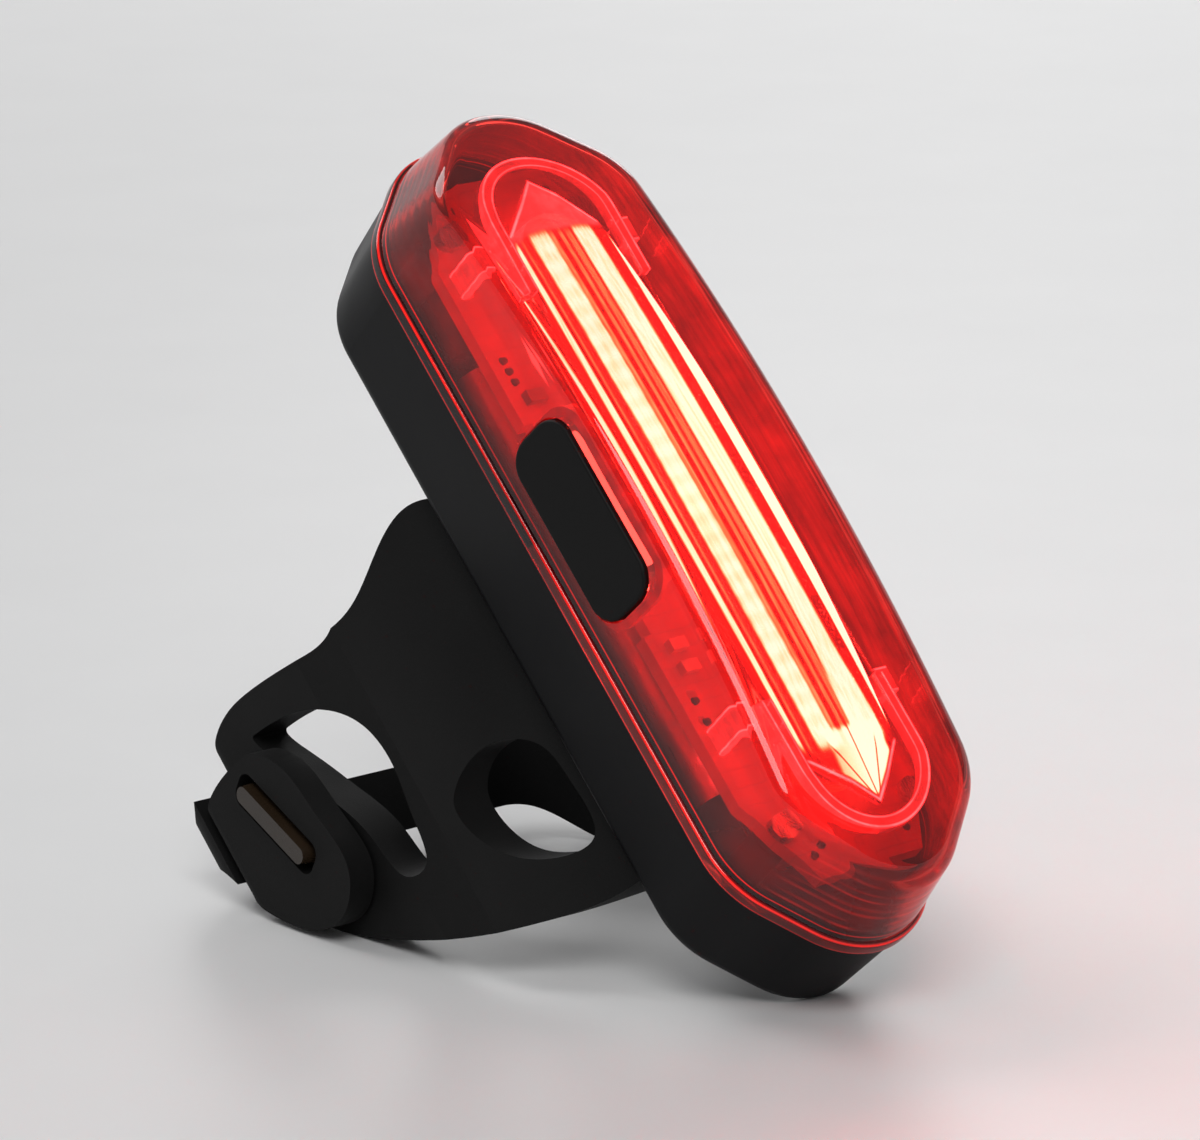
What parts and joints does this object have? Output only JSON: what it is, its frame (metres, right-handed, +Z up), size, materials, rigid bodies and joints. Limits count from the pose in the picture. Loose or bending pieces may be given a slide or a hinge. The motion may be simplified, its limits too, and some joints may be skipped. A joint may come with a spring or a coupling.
{
  "type": "bicycle tail light",
  "caption": "Long rechargeable rear light with a clear red lens, a gem-cut light guide, a side button and a rubber saddle and strap for a seatpost, leaning on its strap.",
  "frame": {"origin": "middle of the footprint box on the table that the lamp leans on", "axes": "+Z up from the table, -Y the way the lens faces, -X the side with the button and the strap's peg"},
  "size_m": [0.0374, 0.0658, 0.0632],
  "materials": {
    "rear_case": "fine satin black moulding",
    "lens_seal": "black silicone",
    "front_lens": "clear red polished plastic",
    "button_cap": "satin black",
    "button_boot": "black silicone",
    "switch_body": "frosted white",
    "switch_plunger": "black",
    "lamp_board": "white solder mask",
    "light_strip": "phosphor strip, lit",
    "charge_chip": "black moulded chip",
    "charge_lights": "clear lamp chips",
    "small_parts": "tan chips with tinned ends",
    "inductor": "dark ferrite",
    "board_screws": "zinc plated",
    "light_guide": "clear polished plastic, lit from below",
    "battery_cell": "foil pouch",
    "battery_pads": "black foam tape",
    "battery_lead_red": "red wire",
    "battery_lead_black": "black wire",
    "charge_socket": "plated steel shell",
    "socket_tongue": "black plastic",
    "socket_board": "green board",
    "charge_flap": "black silicone",
    "saddle_strap": "matt black silicone rubber",
    "mount_plate": "black nylon",
    "mount_screws": "zinc plated",
    "strap_tab": "matt black silicone rubber",
    "hook_peg": "glossy dark brown plastic"
  },
  "bodies": {
    "lamp": {"rear_case": "rear_case", "lens_seal": "lens_seal", "front_lens": "front_lens", "switch_body": "switch_body", "lamp_board": "lamp_board", "light_strip": "light_strip", "charge_chip": "charge_chip", "charge_lights": "charge_lights", "small_parts": "small_parts", "inductor": "inductor", "board_screws": "board_screws", "light_guide": "light_guide", "battery_cell": "battery_cell", "battery_pads": "battery_pads", "battery_lead_red": "battery_lead_red", "battery_lead_black": "battery_lead_black", "charge_socket": "charge_socket", "socket_tongue": "socket_tongue", "socket_board": "socket_board", "saddle_strap": "saddle_strap", "mount_plate": "mount_plate", "mount_screws": "mount_screws", "hook_peg": "hook_peg"},
    "button": {"button_cap": "button_cap", "button_boot": "button_boot"},
    "plunger": {"switch_plunger": "switch_plunger"},
    "flap": {"charge_flap": "charge_flap"},
    "tab": {"strap_tab": "strap_tab"}
  },
  "joints": [
    {"name": "button_press", "type": "slide", "parent": "lamp", "child": "button", "axis": [1, 0, 0], "range_m": [0, 0.0003], "stiffness_N_per_m": 3000},
    {"name": "plunger_press", "type": "slide", "parent": "lamp", "child": "plunger", "axis": [1, 0, 0], "range_m": [0, 0.0003]},
    {"name": "flap_open", "type": "hinge", "parent": "lamp", "child": "flap", "pos_m": [0.0017, 0.0232, 0.04487], "axis": [1, 0, 0], "range_deg": [0, 95], "stiffness_Nm_per_rad": 0.002},
    {"name": "tab_release", "type": "hinge", "parent": "lamp", "child": "tab", "pos_m": [-0.0169, 0.02445, 0.00308], "axis": [0, -0.7039, -0.7103], "range_deg": [0, 80], "stiffness_Nm_per_rad": 0.01}
  ],
  "couplings": [
    {"joint": "plunger_press", "follows": "button_press", "ratio": 1}
  ]
}
